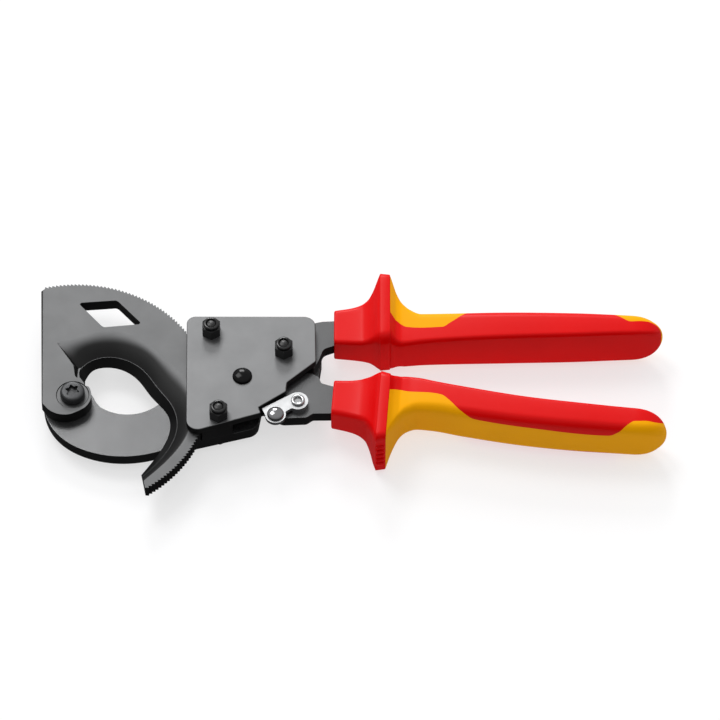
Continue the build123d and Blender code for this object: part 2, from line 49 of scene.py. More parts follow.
def spans(node):
    """Lowest and highest corner of a CAD node in millimetres."""
    low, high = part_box(node)
    return Vector(low) / MM, Vector(high) / MM


# ---- Levels and centres, all read from the frame --------------------------------------
BLADE_LOW, BLADE_HIGH = spans("moving_blade")
BLADE_Z = BLADE_LOW.z
BLADE_TOP = BLADE_HIGH.z
FRONT_TOP = spans("front_plate")[1].z
UPPER_LOW, UPPER_HIGH = spans("upper_grip")
GRIP_MID = (UPPER_LOW.z + UPPER_HIGH.z) / 2
NECK = spans("fixed_blade")[0].z    # underside of the back plate
SCREW_LOW, SCREW_HIGH = spans("pivot_screw")
PIN_LOW, PIN_HIGH = spans("handle_pin")
PIN = (PIN_LOW + PIN_HIGH) / 2
BUTTON_LOW, BUTTON_HIGH = spans("lock_button")
BUTTON = (BUTTON_LOW + BUTTON_HIGH) / 2
RIVET_LOW, RIVET_HIGH = spans("lever_rivet")
RIVET = (RIVET_LOW + RIVET_HIGH) / 2


# ---- Mesh helpers -----------------------------------------------------------------------
def add_mesh(name, points, faces):
    """Mesh object from points in millimetres."""
    mesh = bpy.data.meshes.new(name)
    mesh.from_pydata([tuple(p) for p in points], [], faces)
    mesh.update()
    obj = bpy.data.objects.new(name, mesh)
    bpy.context.scene.collection.objects.link(obj)
    return obj


def stack(name, rings):
    """Closed solid through rings of equally many points."""
    count = len(rings[0])
    points = [p for ring in rings for p in ring]
    faces = []
    for level in range(len(rings) - 1):
        for i in range(count):
            j = (i + 1) % count
            a, b = level * count, (level + 1) * count
            faces.append((a + i, a + j, b + j, b + i))
    faces.append(tuple(reversed(range(count))))
    faces.append(tuple(range((len(rings) - 1) * count, len(rings) * count)))
    obj = add_mesh(name, points, faces)
    outwards(obj)
    return obj


def outwards(obj):
    """Turn all of a solid's faces outwards."""
    bm = bmesh.new()
    bm.from_mesh(obj.data)
    bmesh.ops.recalc_face_normals(bm, faces=bm.faces)
    bm.to_mesh(obj.data)
    bm.free()


def prism(name, outline, low, high):
    """Solid with the outline as its plan."""
    return stack(name, [[(x, y, low) for x, y in outline], [(x, y, high) for x, y in outline]])


def lathe(name, profile, centre, segments=72):
    """Solid turned about the vertical through centre; the profile runs up from the axis at the foot."""
    points, faces = [], []
    rings = []
    for radius, z in profile:
        if radius < 1e-6:
            rings.append([len(points)])
            points.append((centre[0], centre[1], z))
            continue
        rings.append(list(range(len(points), len(points) + segments)))
        for i in range(segments):
            angle = 2 * pi * i / segments
            points.append((centre[0] + radius * cos(angle), centre[1] + radius * sin(angle), z))
    for lower, upper in zip(rings, rings[1:]):
        for i in range(segments):
            j = (i + 1) % segments
            if len(lower) == 1:
                faces.append((lower[0], upper[j], upper[i]))
            elif len(upper) == 1:
                faces.append((lower[i], lower[j], upper[0]))
            else:
                faces.append((lower[i], lower[j], upper[j], upper[i]))
    obj = add_mesh(name, points, faces)
    outwards(obj)
    return obj


def boolean(target, tool, operation, keep=False):
    """Cut, join or intersect target with tool."""
    modifier = target.modifiers.new("shape", "BOOLEAN")
    modifier.operation = operation
    modifier.solver = "EXACT"
    modifier.object = tool
    graph = bpy.context.evaluated_depsgraph_get()
    target.data = bpy.data.meshes.new_from_object(target.evaluated_get(graph))
    target.modifiers.clear()
    if not keep:
        bpy.data.objects.remove(tool)


def joined(objects, name):
    """One object from several."""
    bm = bmesh.new()
    for obj in objects:
        bm.from_mesh(obj.data)
    mesh = bpy.data.meshes.new(name)
    bm.to_mesh(mesh)
    bm.free()
    for obj in objects:
        bpy.data.objects.remove(obj)
    result = bpy.data.objects.new(name, mesh)
    bpy.context.scene.collection.objects.link(result)
    return result


def soften(obj, width, angle=30, segments=2):
    """Round every edge sharper than the angle."""
    modifier = obj.modifiers.new("edges", "BEVEL")
    modifier.width = width
    modifier.segments = segments
    modifier.limit_method = "ANGLE"
    modifier.angle_limit = radians(angle)
    modifier.use_clamp_overlap = True
    modifier.harden_normals = False
    modifier.miter_outer = "MITER_ARC"
    graph = bpy.context.evaluated_depsgraph_get()
    obj.data = bpy.data.meshes.new_from_object(obj.evaluated_get(graph))
    obj.modifiers.clear()


def place(obj, material, body, replaced, angle=32, weighted=True):
    """Scale a finished piece to metres, shade it and hang it on its body."""
    obj.data.transform(Matrix.Scale(MM, 4))
    obj.data.shade_smooth()
    obj.data.set_sharp_from_angle(angle=radians(angle))
    obj.data.materials.clear()
    obj.data.materials.append(material)
    if weighted:
        modifier = obj.modifiers.new("normals", "WEIGHTED_NORMAL")
        modifier.keep_sharp = True
        modifier.weight = 80
    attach(obj, body)
    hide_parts(*replaced)
    return obj


def refined(node, width, angle=30, segments=2):
    """Copy of a CAD node in millimetres, with its flat faces merged and its edges rounded."""
    mesh = nodes[node].data.copy()
    mesh.transform(Matrix.Scale(1 / MM, 4))
    bm = bmesh.new()
    bm.from_mesh(mesh)
    bmesh.ops.remove_doubles(bm, verts=bm.verts, dist=0.002)
    bmesh.ops.dissolve_limit(bm, angle_limit=radians(0.6), verts=bm.verts, edges=bm.edges)
    bmesh.ops.recalc_face_normals(bm, faces=bm.faces)
    bm.to_mesh(mesh)
    bm.free()
    obj = bpy.data.objects.new(node + "_refined", mesh)
    bpy.context.scene.collection.objects.link(obj)
    if width:
        soften(obj, width, angle, segments)
    return obj


# ---- Curves -----------------------------------------------------------------------------
def monotone(xs, ys, x):
    """Smooth curve through the points that never overshoots between them."""
    xs, ys = np.asarray(xs, float), np.asarray(ys, float)
    steps, slopes = np.diff(xs), np.diff(ys) / np.diff(xs)
    tangents = np.zeros(len(xs))
    for i in range(1, len(xs) - 1):
        if slopes[i - 1] * slopes[i] > 0:
            before, after = 2 * steps[i] + steps[i - 1], steps[i] + 2 * steps[i - 1]
            tangents[i] = (before + after) / (before / slopes[i - 1] + after / slopes[i])
    tangents[0], tangents[-1] = slopes[0], slopes[-1]
    i = int(np.clip(np.searchsorted(xs, x) - 1, 0, len(steps) - 1))
    t = (x - xs[i]) / steps[i]
    return float((2 * t**3 - 3 * t**2 + 1) * ys[i] + (t**3 - 2 * t**2 + t) * steps[i] * tangents[i]
                 + (3 * t**2 - 2 * t**3) * ys[i + 1] + (t**3 - t**2) * steps[i] * tangents[i + 1])


def spline(points, count):
    """Evenly spaced points on a natural cubic spline through the given ones."""
    points = np.asarray(points, float)
    lengths = np.concatenate([[0], np.cumsum(np.linalg.norm(np.diff(points, axis=0), axis=1))])
    number, steps = len(points), np.diff(lengths)
    system, right = np.zeros((number, number)), np.zeros((number, 2))
    system[0, 0] = system[-1, -1] = 1
    for i in range(1, number - 1):
        system[i, i - 1:i + 2] = steps[i - 1], 2 * (steps[i - 1] + steps[i]), steps[i]
        right[i] = 6 * ((points[i + 1] - points[i]) / steps[i] - (points[i] - points[i - 1]) / steps[i - 1])
    bends = np.linalg.solve(system, right)
    result = []
    for s in np.linspace(0, lengths[-1], count):
        i = int(np.clip(np.searchsorted(lengths, s) - 1, 0, number - 2))
        h, a, b = steps[i], (lengths[i + 1] - s) / steps[i], (s - lengths[i]) / steps[i]
        p = (a * points[i] + b * points[i + 1]
             + ((a**3 - a) * bends[i] + (b**3 - b) * bends[i + 1]) * h * h / 6)
        result.append((float(p[0]), float(p[1])))
    return result


def rounded(corners, radii, segments=10):
    """Closed outline with rounded corners."""
    outline = []
    for i, (corner, radius) in enumerate(zip(corners, radii)):
        p = Vector(corner)
        before, after = Vector(corners[i - 1]) - p, Vector(corners[(i + 1) % len(corners)]) - p
        half = before.angle(after) / 2
        reach = radius / np.tan(half)
        start, end = p + before.normalized() * reach, p + after.normalized() * reach
        centre = p + (before.normalized() + after.normalized()).normalized() * (radius / sin(half))
        first_angle = atan2(start.y - centre.y, start.x - centre.x)
        turn = (atan2(end.y - centre.y, end.x - centre.x) - first_angle + pi) % (2 * pi) - pi
        for k in range(segments + 1):
            angle = first_angle + turn * k / segments
            outline.append((centre.x + radius * cos(angle), centre.y + radius * sin(angle)))
    return outline


# ---- Materials --------------------------------------------------------------------------
def material(name, **sockets):
    """Material with a shader whose constant sockets are set here."""
    mat = bpy.data.materials.new(name)
    mat.use_nodes = True
    shader = mat.node_tree.nodes["Principled BSDF"]
    for key, value in sockets.items():
        shader.inputs[key.replace("_", " ")].default_value = value
    return mat, mat.node_tree, shader


def noise(tree, scale, detail, stretch=(1, 1, 1), distortion=0.0):
    """Noise over the object's own coordinates."""
    coords = tree.nodes.new("ShaderNodeTexCoord")
    mapping = tree.nodes.new("ShaderNodeMapping")
    mapping.inputs["Scale"].default_value = stretch
    texture = tree.nodes.new("ShaderNodeTexNoise")
    texture.inputs["Scale"].default_value = scale
    texture.inputs["Detail"].default_value = detail
    texture.inputs["Distortion"].default_value = distortion
    tree.links.new(coords.outputs["Object"], mapping.inputs["Vector"])
    tree.links.new(mapping.outputs["Vector"], texture.inputs["Vector"])
    return texture.outputs["Fac"]


def ramp(tree, source, stops):
    """Colour ramp over a value."""
    node = tree.nodes.new("ShaderNodeValToRGB")
    elements = node.color_ramp.elements
    while len(elements) < len(stops):
        elements.new(0.5)
    for element, (position, colour) in zip(elements, stops):
        element.position = position
        element.color = (*colour, 1)
    tree.links.new(source, node.inputs["Fac"])
    return node.outputs["Color"]


def bump(tree, shader, heights, distance, strength=1.0):
    """Surface relief from one or more heights, fine ones last."""
    normal = None
    for height in heights:
        node = tree.nodes.new("ShaderNodeBump")
        node.inputs["Strength"].default_value = strength
        node.inputs["Distance"].default_value = distance
        tree.links.new(height, node.inputs["Height"])
        if normal:
            tree.links.new(normal, node.inputs["Normal"])
        normal = node.outputs["Normal"]
    tree.links.new(normal, shader.inputs["Normal"])


def grey(value):
    """Neutral colour with the slight warmth or coolness of steel."""
    return (value, value * 1.01, value * 1.025)


def facing_shaded_steel(name, top, wall, rough_top, rough_wall, grain=(1, 1, 1),
                   dark_below=0.55, light_above=0.985):
    """Steel coloured by its facing: a lighter metallic tone on the faces that look up or down, and a
    near-black painted shade on its walls and slopes.
    """
    mat, tree, shader = material(name)
    geometry = tree.nodes.new("ShaderNodeNewGeometry")
    split = tree.nodes.new("ShaderNodeSeparateXYZ")
    tree.links.new(geometry.outputs["Normal"], split.inputs["Vector"])
    facing = tree.nodes.new("ShaderNodeMath")
    facing.operation = "ABSOLUTE"
    tree.links.new(split.outputs["Z"], facing.inputs[0])
    # painted shade: this mask turns faces that tilt away from up or down to the dark wall colour
    facing_shade_mask = tree.nodes.new("ShaderNodeMapRange")
    facing_shade_mask.interpolation_type = "SMOOTHSTEP"
    facing_shade_mask.inputs["From Min"].default_value = dark_below
    facing_shade_mask.inputs["From Max"].default_value = light_above
    tree.links.new(facing.outputs[0], facing_shade_mask.inputs["Value"])
    cloud = noise(tree, 90, 5)
    # painted light and shade: a lighter tone for the flat faces, a near-black painted shade for walls and
    # slopes
    light = ramp(tree, cloud, [(0.3, grey(top * 0.93)), (0.7, grey(top * 1.07))])
    painted_wall_shade = ramp(tree, cloud, [(0.3, grey(wall * 0.7)), (0.7, grey(wall * 1.4))])
    mix = tree.nodes.new("ShaderNodeMix")
    mix.data_type = "RGBA"
    tree.links.new(facing_shade_mask.outputs["Result"], mix.inputs["Factor"])
    tree.links.new(painted_wall_shade, mix.inputs["A"])
    tree.links.new(light, mix.inputs["B"])
    tree.links.new(mix.outputs["Result"], shader.inputs["Base Color"])
    rough = tree.nodes.new("ShaderNodeMapRange")
    rough.inputs["To Min"].default_value = rough_wall
    rough.inputs["To Max"].default_value = rough_top
    tree.links.new(facing_shade_mask.outputs["Result"], rough.inputs["Value"])
    tree.links.new(rough.outputs["Result"], shader.inputs["Roughness"])
    metal = tree.nodes.new("ShaderNodeMapRange")
    metal.inputs["To Min"].default_value = 0.0
    metal.inputs["To Max"].default_value = 0.85
    tree.links.new(facing_shade_mask.outputs["Result"], metal.inputs["Value"])
    tree.links.new(metal.outputs["Result"], shader.inputs["Metallic"])
    shader.inputs["Specular IOR Level"].default_value = 0.16
    bump(tree, shader, [noise(tree, 1500, 4, grain)], 0.00002, 0.4)
    return mat


def plain_steel(name, colour, rough, metallic, grain, relief, specular=0.5, spread=0.12):
    """Turned or plated steel with a little grain."""
    mat, tree, shader = material(name, Metallic=metallic, Specular_IOR_Level=specular)
    cloud = noise(tree, 300, 4)
    low, high = [c * (1 - spread) for c in colour], [c * (1 + spread) for c in colour]
    tree.links.new(ramp(tree, cloud, [(0.3, low), (0.7, high)]), shader.inputs["Base Color"])
    value = tree.nodes.new("ShaderNodeMapRange")
    value.inputs["To Min"].default_value = rough * 0.85
    value.inputs["To Max"].default_value = rough * 1.15
    tree.links.new(cloud, value.inputs["Value"])
    tree.links.new(value.outputs["Result"], shader.inputs["Roughness"])
    bump(tree, shader, [noise(tree, 1200, 3, grain)], relief, 0.5)
    return mat


def plastic(name, colour, rough, shade, specular):
    """Moulded handle plastic: a fine erosion texture and a faint cloudiness."""
    mat, tree, shader = material(name, Specular_IOR_Level=specular)
    cloud = noise(tree, 60, 4)
    low = [c * (1 - shade) for c in colour]
    tree.links.new(ramp(tree, cloud, [(0.25, low), (0.75, colour)]), shader.inputs["Base Color"])
    value = tree.nodes.new("ShaderNodeMapRange")
    value.inputs["To Min"].default_value = rough - 0.05
    value.inputs["To Max"].default_value = rough + 0.06
    tree.links.new(noise(tree, 400, 3), value.inputs["Value"])
    tree.links.new(value.outputs["Result"], shader.inputs["Roughness"])
    bump(tree, shader, [noise(tree, 2600, 3), noise(tree, 350, 2)], 0.00002, 0.35)
    return mat


# painted shade: the walls of these steels are near black, and on the blade every slope of the hollow grind
# and land turns dark too
BLADE_STEEL = facing_shaded_steel("blade_steel", 0.099, 0.004, 0.46, 0.42, (1, 1, 1), 0.968, 0.9999)
HOOK_STEEL = facing_shaded_steel("hook_steel", 0.127, 0.005, 0.27, 0.42, (1, 1, 1))
PLATE_STEEL = facing_shaded_steel("plate_steel", 0.136, 0.005, 0.42, 0.40, (0.3, 1, 1), 0.4, 0.9)
ARM_STEEL = facing_shaded_steel("arm_steel", 0.108, 0.005, 0.27, 0.42, (0.2, 1, 1), 0.5, 0.95)
BLACK_STEEL = plain_steel("black_steel", (0.003, 0.003, 0.0033), 0.14, 0.0, (1, 1, 1), 0.000004, 0.5)
DOME_STEEL = plain_steel("dome_steel", (0.002, 0.002, 0.0022), 0.13, 0.0, (1, 1, 1), 0.000004, 0.13)
SCREW_STEEL = plain_steel("screw_steel", (0.045, 0.046, 0.048), 0.36, 0.5, (1, 1, 1), 0.00002, 0.3)
BOLT_STEEL = plain_steel("bolt_steel", (0.006, 0.006, 0.0063), 0.34, 0.0, (1, 1, 1), 0.00001, 0.3)
BRIGHT_STEEL = plain_steel("bright_steel", (0.42, 0.425, 0.43), 0.16, 1.0, (1, 1, 1), 0.000004, 0.5, 0.05)
# painted shade: a darker base than the bright steel of the rivet, standing in for the darker reflections on
# the ball
BALL_STEEL = plain_steel("ball_steel", (0.20, 0.20, 0.205), 0.14, 1.0, (1, 1, 1), 0.000004, 0.5, 0.05)
LEVER_STEEL = plain_steel("lever_steel", (0.43, 0.435, 0.44), 0.30, 1.0, (0.25, 1, 1), 0.00001, 0.5, 0.06)
SPRING_STEEL = plain_steel("spring_wire_steel", (0.36, 0.35, 0.34), 0.3, 1.0, (1, 1, 1), 0.00001)
RED = plastic("red_plastic", (0.735, 0.0004, 0.0008), 0.33, 0.06, 0.13)
YELLOW = plastic("yellow_plastic", (0.94, 0.405, 0.0006), 0.42, 0.05, 0.06)
RING = plastic("nut_ring_plastic", (0.008, 0.008, 0.0084), 0.5, 0.3, 0.2)


# ---- Grips ------------------------------------------------------------------------------
# Sections: station along the tool, low and high side, half height. The guard's rim runs from
# the section at RIM to the next one; the last two hold the size that the nose rounds off.
UPPER_SECTIONS = [(103.6, 23.0, 39.6, 6.3), (111.0, 22.4, 40.8, 6.6), (114.5, 22.1, 42.0, 6.9),
                  (117.2, 22.0, 43.8, 8.0), (119.2, 21.7, 47.0, 9.6), (120.8, 21.0, 50.8, 11.4),
                  (121.9, 20.3, 53.9, 12.5), (126.1, 20.8, 53.4, 12.5), (127.3, 20.7, 50.0, 10.8),
                  (128.6, 20.7, 46.4, 9.4), (130.6, 20.7, 42.6, 8.7), (133.8, 21.0, 39.2, 8.8),
                  (138.5, 21.6, 36.9, 9.0), (150.0, 22.4, 36.8, 9.5), (172.0, 23.3, 36.9, 10.1),
                  (200.0, 24.1, 36.4, 10.3), (216.0, 24.8, 35.7, 10.2), (222.0, 25.0, 35.4, 10.1),
                  (235.2, 25.4, 34.6, 9.9)]
LOWER_SECTIONS = [(103.3, -11.0, 5.4, 6.3), (110.0, -12.6, 5.2, 6.5), (113.5, -13.8, 5.4, 6.8),
                  (117.0, -16.0, 5.9, 8.0), (119.3, -20.2, 6.3, 9.8), (120.9, -24.8, 6.7, 11.5),
                  (121.9, -27.3, 7.0, 12.5), (126.0, -26.6, 5.6, 12.5), (127.2, -22.4, 5.7, 10.8),
                  (128.6, -18.6, 5.8, 9.6), (130.6, -14.6, 5.9, 8.7), (133.0, -12.1, 5.7, 8.7),
                  (137.5, -10.5, 4.9, 9.0), (143.0, -10.9, 3.3, 9.3), (155.4, -13.3, 0.3, 9.7),
                  (181.0, -17.6, -5.0, 10.2), (200.1, -19.8, -7.7, 10.3), (218.0, -21.3, -9.8, 10.1),
                  (223.4, -21.7, -10.4, 10.1), (236.4, -22.4, -11.9, 9.9)]
RIM = 6
UPPER_RIDGE = [(126.1, 21.6), (129.0, 22.0), (132.6, 20.2), (140.4, 19.3), (147.0, 19.2),
               (149.6, 20.8), (155.0, 25.0), (159.0, 30.0), (165.0, 31.2), (208.0, 31.4), (213.0, 29.0),
               (218.5, 22.5), (222.0, 20.6), (227.0, 21.6), (232.5, 24.5), (238.0, 27.5)]
LOWER_RIDGE = [(126.0, 8.4), (128.6, 7.5), (130.6, 6.9), (134.0, 6.3), (140.6, 6.1), (146.6, 5.1),
               (149.4, 2.9), (155.1, -3.4), (159.7, -7.6), (164.4, -8.9), (181.3, -12.1), (213.5, -16.2),
               (217.4, -13.6), (220.8, -9.1), (223.3, -7.4), (227.0, -7.4), (232.8, -9.2), (238.0, -11.5)]
LOWER_TILT = -4.15
NOSE = 13.2              # length of the rounded end
COLLAR_ROUND = 0.6
RIM_ROUND = 0.35
CROWN = 0.3
WEDGE_REACH = 45.0
LOWER_OPENING = 1.75     # the wedge opens further below, so that the yellow reaches the lower corner
RED_WALL = 3.0
# Corner radii along a handle: station, on the inner side, on the outer side
CORNERS = [(103.0, 1.8, 2.4), (115.0, 1.8, 2.4), (119.0, 2.8, 2.8), (121.9, 4.3, 3.0), (126.1, 4.3, 3.0),
           (128.5, 2.8, 3.2), (133.0, 1.8, 3.4), (150.0, 1.6, 3.6), (240.0, 1.6, 3.6)]
RIBS = 5
RIB_PITCH, RIB_HIGH, RIB_PROUD = 2.9, 1.4, 0.85


def oval(low, high, half, r_low, r_high, crown):
    """Section of a grip: a rounded rectangle with slightly crowned sides."""
    width = high - low
    most = 0.48 * min(width, 2 * half)
    r_low, r_high = min(r_low, most), min(r_high, most)
    half = half - crown
    points = []
    for cy, cz, radius, start in [(high - r_high, half - r_high, r_high, 0),
                                  (low + r_low, half - r_low, r_low, 90),
                                  (low + r_low, r_low - half, r_low, 180),
                                  (high - r_high, r_high - half, r_high, 270)]:
        for k in range(11):
            angle = radians(start + 9 * k)
            points.append((cy + radius * cos(angle), cz + radius * sin(angle)))
        last = points[-1]
        nxt = {0: (low + r_low, half), 90: (low, r_low - half), 180: (high - r_high, -half),
               270: (high, half - r_high)}[start]
        for k in range(1, 9):
            points.append((last[0] + (nxt[0] - last[0]) * k / 9, last[1] + (nxt[1] - last[1]) * k / 9))
    middle = (low + high) / 2
    result = []
    for y, z in points:
        side, rise = (y - middle) / (width / 2), z / half
        result.append((y, z + crown * rise * (1 - side * side)))
    return result


def grip_rings(sections, tilt, outer):
    """Rings of a whole grip, from the collar's end to the nose."""
    start, end = sections[0][0], sections[-1][0]
    rim_in, rim_out = sections[RIM][0], sections[RIM + 1][0]
    stations = [start + COLLAR_ROUND * (1 - cos(radians(a))) for a in range(0, 91, 18)]
    stations += list(np.arange(start + 1.2, 114.0, 1.2)) + list(np.arange(114.0, rim_in - 0.05, 0.4))
    stations += [rim_in] + [rim_in + RIM_ROUND * (1 - cos(radians(a))) for a in (30, 60, 90)]
    stations += [rim_out - RIM_ROUND * (1 - cos(radians(a))) for a in (90, 60, 30)] + [rim_out]
    stations += list(np.arange(rim_out + 0.3, 142.0, 0.4)) + list(np.arange(142.0, end - NOSE, 1.5))
    stations += [end - NOSE + NOSE * sin(radians(a)) for a in list(range(0, 84, 3)) + [84, 86, 87.5, 88.8]]
    parts = [sections[:RIM + 1], sections[RIM:RIM + 2], sections[RIM + 1:]]
    rings = []
    for s in stations:
        part = parts[0] if s <= rim_in else parts[1] if s <= rim_out else parts[2]
        xs = [row[0] for row in part]
        low, high, half = (monotone(xs, [row[k] for row in part], s) for k in (1, 2, 3))
        inset = 0.0
        if s < start + COLLAR_ROUND:
            inset = COLLAR_ROUND * (1 - sqrt(max(0, 1 - (1 - (s - start) / COLLAR_ROUND) ** 2)))
        near = min(s - rim_in, rim_out - s)
        if 0 <= near < RIM_ROUND:
            inset = RIM_ROUND * (1 - sqrt(max(0, 1 - (1 - near / RIM_ROUND) ** 2)))
        elif near < 0:
            inset += RIM_ROUND * exp(near / 0.6)
        low, high, half = low + inset, high - inset, half - inset
        if s > end - NOSE:
            u = (s - (end - NOSE)) / NOSE
            middle, reach = (low + high) / 2, (high - low) / 2 * (1 - u**2.6) ** 0.5
            low, high, half = middle - reach, middle + reach, half * (1 - u**2.4) ** (1 / 2.2)
        inner, outside = (monotone([c[0] for c in CORNERS], [c[k] for c in CORNERS], s) for k in (1, 2))
        r_low, r_high = (inner, outside) if outer > 0 else (outside, inner)
        crown = CROWN * min(1, max(0, (s - rim_out) / 8)) * (half / 10)
        ring = oval(low, high, half, r_low, r_high, crown)
        rings.append([(s - y * sin(radians(tilt)), y * cos(radians(tilt)), GRIP_MID + z) for y, z in ring])
    return rings


def wedge(name, ridge, sections, tilt, outer):
    """Space of the inlay: it opens towards the grip's outer side and leaves a red wall on the inner one."""
    xs, ys = [row[0] for row in ridge], [row[1] for row in ridge]
    sides = [row[0] for row in sections], [row[1 if outer > 0 else 2] for row in sections]
    rings = []
    reach = WEDGE_REACH * outer
    for s in list(np.arange(xs[0], 168.0, 0.7)) + list(np.arange(168.0, 206.0, 4.0)) \
            + list(np.arange(206.0, xs[-1] + 1, 0.7)):
        y = monotone(xs, ys, min(s, xs[-1]))
        inner = monotone(sides[0], sides[1], min(s, sides[0][-1])) + RED_WALL * outer
        back = (max if outer > 0 else min)(y + 0.02 * outer, inner)
        gap = abs(back - y)
        corners = [(back, gap), (back, -gap * LOWER_OPENING), (y + reach, -WEDGE_REACH * LOWER_OPENING),
                   (y + reach, WEDGE_REACH)]
        rings.append([(s - a * sin(radians(tilt)), a * cos(radians(tilt)), GRIP_MID + b) for a, b in corners])
    return stack(name, rings)


def ribs(sections, tilt, outer):
    """Small cross ribs on the outer end of the guard's rim."""
    low_x, high_x = sections[RIM][0] + 0.5, sections[RIM + 1][0] - 0.3
    edge = sections[RIM][2] if outer > 0 else sections[RIM][1]
    edge_out = sections[RIM + 1][2] if outer > 0 else sections[RIM + 1][1]
    objects = []
    for k in range(RIBS):
        z = GRIP_MID + (k - (RIBS - 1) / 2) * RIB_PITCH
        rings = []
        for step in range(13):
            t = step / 12
            s = low_x + (high_x - low_x) * t
            full = sqrt(max(0.02, 1 - (2 * t - 1) ** 8))
            share = (s - sections[RIM][0]) / (sections[RIM + 1][0] - sections[RIM][0])
            face = edge + (edge_out - edge) * share
            ring = []
            for a in range(0, 360, 30):
                out = RIB_PROUD * cos(radians(a)) * full
                y = face + outer * out
                ring.append((s - y * sin(radians(tilt)), y * cos(radians(tilt)),
                             z + RIB_HIGH / 2 * sin(radians(a)) * full))
            rings.append(ring)
        objects.append(stack("rib", rings))
    return objects


for side, sections, ridge, tilt, outer, body in [
        ("upper", UPPER_SECTIONS, UPPER_RIDGE, 0.0, 1, "housing"),
        ("lower", LOWER_SECTIONS, LOWER_RIDGE, LOWER_TILT, -1, "handle")]:
    core = stack(side + "_grip_core", grip_rings(sections, tilt, outer))
    inlay = stack(side + "_grip_inlay_shell", grip_rings(sections, tilt, outer))
    space = wedge("space", ridge, sections, tilt, outer)
    boolean(inlay, space, "INTERSECT", keep=True)
    boolean(core, space, "DIFFERENCE")
    core = joined([core] + ribs(sections, tilt, outer), side + "_grip_core")
    place(core, RED, body, [side + "_grip"], angle=38, weighted=False)
    place(inlay, YELLOW, body, [side + "_grip_inlay"], angle=38, weighted=False)

# ---- Moving blade -----------------------------------------------------------------------
RIM_R, TOOTH_DEPTH, TEETH_PER_TURN = 54.1, 0.8, 225
RIM_START, RIM_END = 104.0, -56.0
CUT_EDGE = [(4.4, 10.5), (7.4, 15.4), (12.2, 16.9), (18.5, 15.9), (25.4, 10.9), (31.2, 2.4),
            (38.1, -7.1), (38.6, -13.8), (35.2, -23.1), (27.9, -34.6)]
LAND_TOP = [(2.4, 14.0), (6.0, 17.6), (12.6, 19.9), (20.0, 18.7), (27.5, 13.6), (33.4, 5.2),
            (39.6, -4.0), (41.6, -13.6), (38.2, -24.6), (28.3, -37.6)]
HOLLOW_TOP = [(-7.4, 25.5), (2.0, 28.1), (13.0, 31.1), (25.0, 28.2), (35.8, 18.8), (44.8, 8.6),
              (48.9, -4.4), (47.2, -17.0), (41.4, -27.8), (28.9, -41.6)]
LAND_Z = 3.0
# Left end of the hollow: its wall's top edge, from the sharp end down to the lip
PLUNGE_LOW = (-0.2, 14.2)
NOTCH = [(4.9, 4.4), (2.7, 6.9), (0.6, 9.1), (0.2, 11.4)]
WALL_LEAN = 2.1          # how far the wall's foot stands in front of its top edge
SHELF = 0.014            # share of the hollow that is a narrow flat above the land
LEFT_TOP, LEFT_LOW = (-14.3, 50.6), (-12.2, -3.4)
LIP, EYE_SIDE, EYE_TURN, EYE_LOW = (4.6, 5.9), (7.4, -0.4), (4.8, -6.2), (-1.8, -9.4)
WINDOW = [(0.7, 44.8), (16.3, 46.1), (26.7, 34.4), (11.1, 32.8)]
WINDOW_RADII = [0.8, 2.2, 0.8, 2.2]
PIVOT_R, RECESS_R, RECESS_DEPTH = 4.05, 6.4, 0.3
CURVE_POINTS = 90


def polar(radius, angle):
    """Point at a radius and an angle in degrees about the blade's pivot."""
    return (radius * cos(radians(angle)), radius * sin(radians(angle)))


def arc_through(a, b, c, count):
    """Points of the arc from a through b to c."""
    ax, ay, bx, by, cx, cy = *a, *b, *c
    d = 2 * (ax * (by - cy) + bx * (cy - ay) + cx * (ay - by))
    ra, rb, rc = ax * ax + ay * ay, bx * bx + by * by, cx * cx + cy * cy
    ux = (ra * (by - cy) + rb * (cy - ay) + rc * (ay - by)) / d
    uy = (ra * (cx - bx) + rb * (ax - cx) + rc * (bx - ax)) / d
    radius = sqrt((ax - ux) ** 2 + (ay - uy) ** 2)
    start, mid, end = (atan2(y - uy, x - ux) for x, y in (a, b, c))
    turn = (end - start) % (2 * pi)
    if (mid - start) % (2 * pi) > turn:
        turn -= 2 * pi
    return [(ux + radius * cos(start + turn * k / count), uy + radius * sin(start + turn * k / count))
            for k in range(count + 1)]


def blade_outline():
    """Plan of the blade before the jaw is ground, its cutting edge moved out by a millimetre."""
    pitch = 360.0 / TEETH_PER_TURN
    count = round((RIM_START - RIM_END) / pitch)
    points = [LEFT_TOP]
    for index in range(count):
        angle = RIM_START - index * pitch
        points.append(polar(RIM_R - TOOTH_DEPTH, angle))
        points.append(polar(RIM_R, angle - 0.15 * pitch))
        points.append(polar(RIM_R, angle - 0.3 * pitch))
    points.append(polar(RIM_R - TOOTH_DEPTH, RIM_END))
    edge = spline(CUT_EDGE, CURVE_POINTS)
    points.append(edge[-1])
    jaw = Vector((18.0, -8.0))
    for x, y in reversed(edge[2:-2]):
        step = (jaw - Vector((x, y))).normalized() * 1.0
        points.append((x + step.x, y + step.y))
    points += [edge[0]]
    points += arc_through(LIP, EYE_SIDE, EYE_TURN, 14)
    points += spline([EYE_TURN, EYE_LOW, (-8.5, -7.7), LEFT_LOW], 28)[1:]
    return points


def blend(lower, upper, t):
    """Curve between two curves."""
    return [(a[0] + (b[0] - a[0]) * t, a[1] + (b[1] - a[1]) * t) for a, b in zip(lower, upper)]


cut_edge, land_top, hollow_top = (spline(c, CURVE_POINTS) for c in (CUT_EDGE, LAND_TOP, HOLLOW_TOP))
JAW_CLOSE = [(20.0, -38.0), (12.0, -5.0), (7.5, 3.5)]

land_rings = []
for t in (-0.3, 1.12):
    close = JAW_CLOSE + blend([(4.9, 5.0), (4.6, 7.0), (4.45, 8.8), (4.4, 9.8)],
                              [(4.9, 5.0), (4.0, 7.8), (2.2, 10.6), (2.0, 12.6)], t)
    ring = blend(cut_edge, land_top, t) + close
    land_rings.append([(x, y, BLADE_Z + LAND_Z * t) for x, y in ring])
land_cutter = stack("land_cutter", land_rings)

